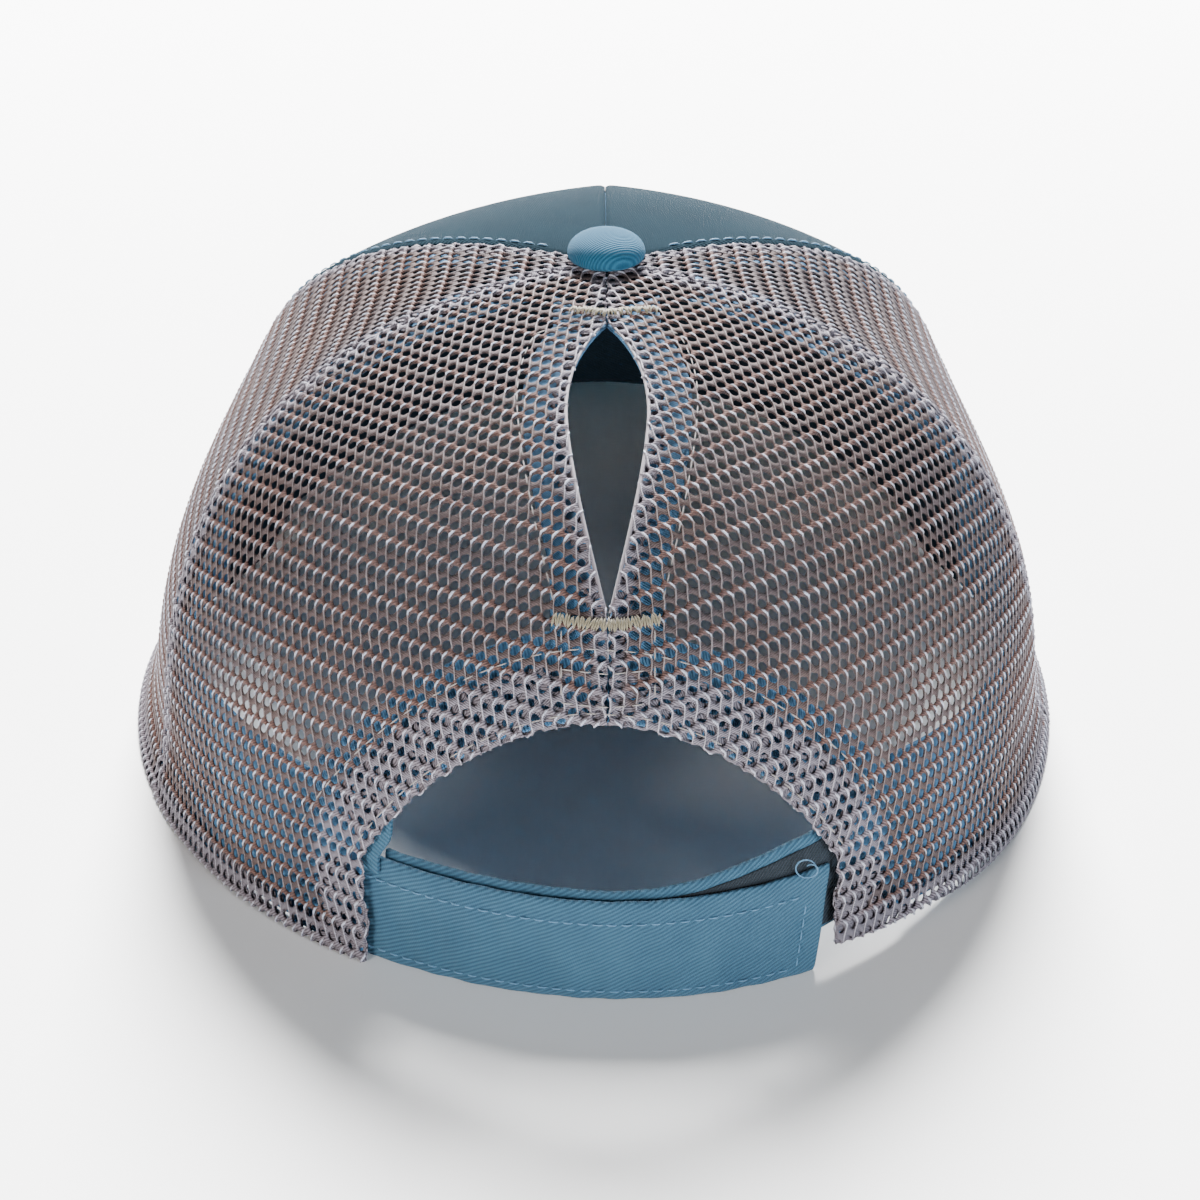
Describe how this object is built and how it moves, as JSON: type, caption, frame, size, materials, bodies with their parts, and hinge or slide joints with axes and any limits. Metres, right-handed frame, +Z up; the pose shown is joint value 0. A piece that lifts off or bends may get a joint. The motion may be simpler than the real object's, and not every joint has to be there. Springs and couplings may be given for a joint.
{
  "type": "ponytail baseball cap",
  "caption": "Baseball cap with twill front panels and peak, mesh sides and back, a ponytail slit in the back seam, and a hook-and-loop strap across the back opening.",
  "frame": {"origin": "bottom centre of the whole cap's box, on the surface that the hem and the peak's ends rest on", "axes": "+Z up, +X to the wearer's left, the peak points towards -Y and the back opening faces +Y"},
  "size_m": [0.181, 0.267, 0.0965],
  "materials": {
    "twill": "washed cotton twill, matt",
    "mesh": "open polyester warp knit with a soft sheen",
    "tape": "flat woven seam tape, matt"
  },
  "bodies": {
    "root": {"front_panel_left": "twill", "front_panel_right": "twill", "side_mesh_left": "mesh", "side_mesh_right": "mesh", "back_mesh_left": "mesh", "back_mesh_right": "mesh", "top_button": "twill", "peak": "twill", "sweatband": "tape", "arch_tape": "tape", "centre_back_tape": "tape", "side_back_tape_left": "tape", "side_back_tape_right": "tape", "side_front_tape_left": "tape", "side_front_tape_right": "tape", "centre_front_tape": "tape", "strap_tab": "twill", "loop_tab": "twill"}
  },
  "joints": []
}
